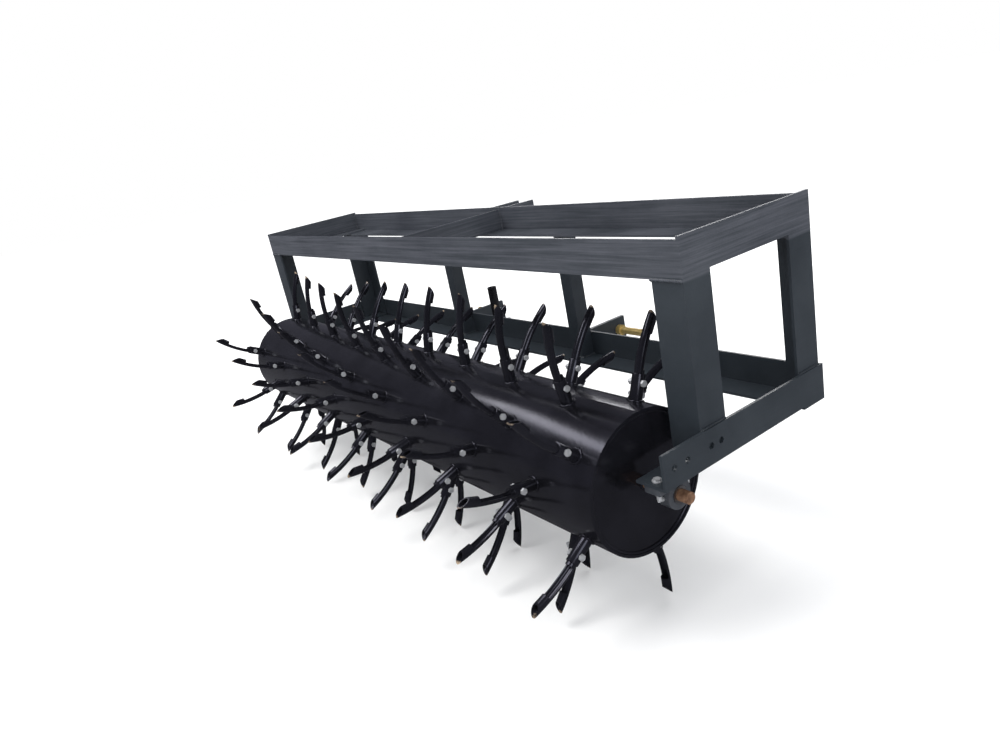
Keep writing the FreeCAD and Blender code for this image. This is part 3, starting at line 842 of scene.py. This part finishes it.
start_clean()
bpy.ops.mesh.primitive_plane_add(size=FLOOR_SIZE, location=(0, 0, -FLOOR_BELOW))
floor = settle("floor")
floor_finish, tree, shader, place = finish_nodes("floor_finish")
dust = stretched_noise(tree, place, EVEN, scale=2.0)
tree.links.new(two_tones(tree, dust, *FLOOR_TONES), shader.inputs["Base Color"])
shader.inputs["Roughness"].default_value = 1.0
shader.inputs["Specular IOR Level"].default_value = 0.0
path = tree.nodes.new("ShaderNodeLightPath")
dark = tree.nodes.new("ShaderNodeBsdfDiffuse")
dark.inputs["Color"].default_value = MIRRORED_FLOOR
seen = mix_shaders(tree, path.outputs["Is Glossy Ray"], shader.outputs["BSDF"],
                   dark.outputs["BSDF"])
tree.links.new(seen, tree.nodes["Material Output"].inputs["Surface"])
floor.data.materials.append(floor_finish)
floor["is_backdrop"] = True
print("floor made")

# %% [markdown]
# ## Sky and lamps
# The camera sees a white sky, while the gloss paint mirrors a dim hall with two bright strips. Two
# broad suns, one from above and one from the right, light the machine evenly and soften its shadow.

# %% Sky and lamps
AIM = (0, -0.1, 0.4)

world = bpy.data.worlds.new("sky")
bpy.context.scene.world = world
world.use_nodes = True
tree = world.node_tree


def background(node, colour, strength):
    """One of the world's backgrounds, set to a colour."""
    node.inputs["Color"].default_value = colour
    node.inputs["Strength"].default_value = strength
    return node.outputs["Background"]


sky = background(tree.nodes["Background"], (0.97, 0.98, 1.0, 1), 0.95)
hall = background(tree.nodes.new("ShaderNodeBackground"), (0.80, 0.80, 1.0, 1), 0.14)
white = background(tree.nodes.new("ShaderNodeBackground"), (1, 1, 1, 1), 1.0)
path = tree.nodes.new("ShaderNodeLightPath")
mirrored = mix_shaders(tree, path.outputs["Is Glossy Ray"], sky, hall)
chosen = mix_shaders(tree, path.outputs["Is Camera Ray"], mirrored, white)
tree.links.new(chosen, tree.nodes["World Output"].inputs["Surface"])


def sun(name, direction, power, spread, colour):
    """A broad sun that shines along a direction."""
    data = bpy.data.lights.new(name, "SUN")
    data.energy = power
    data.angle = math.radians(spread)
    data.color = colour
    made = bpy.data.objects.new(name, data)
    bpy.context.scene.collection.objects.link(made)
    made.rotation_euler = Vector(direction).to_track_quat("-Z", "Y").to_euler()


def ceiling_strip(name, place, length, width, power):
    """A long lamp of a hall's ceiling, which the gloss paint mirrors."""
    data = bpy.data.lights.new(name, "AREA")
    data.shape = "RECTANGLE"
    data.size = length
    data.size_y = width
    data.energy = power
    made = bpy.data.objects.new(name, data)
    bpy.context.scene.collection.objects.link(made)
    made.location = place
    made.rotation_euler = (Vector(AIM) - Vector(place)).to_track_quat("-Z", "Y").to_euler()


sun("high_sun", (0.25, 0.35, -1.0), power=1.3, spread=30, colour=(1.0, 0.99, 0.97))
sun("right_sun", (-1.0, 0.3, -0.5), power=0.7, spread=30, colour=(0.97, 0.99, 1.0))
ceiling_strip("strip_near", (-1.6, -1.6, 3.0), length=3.2, width=0.5, power=28)
ceiling_strip("strip_far", (-1.2, 3.4, 2.2), length=4.5, width=0.4, power=45)
bpy.context.scene.view_settings.view_transform = "Standard"
print("suns 2, strips 2")

# %% How much the boxes grew
new_low, new_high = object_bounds()
growth = zip(cad_high - cad_low, new_high - new_low)
print("grew by", [round((new - old) * 1000, 2) for old, new in growth], "mm")
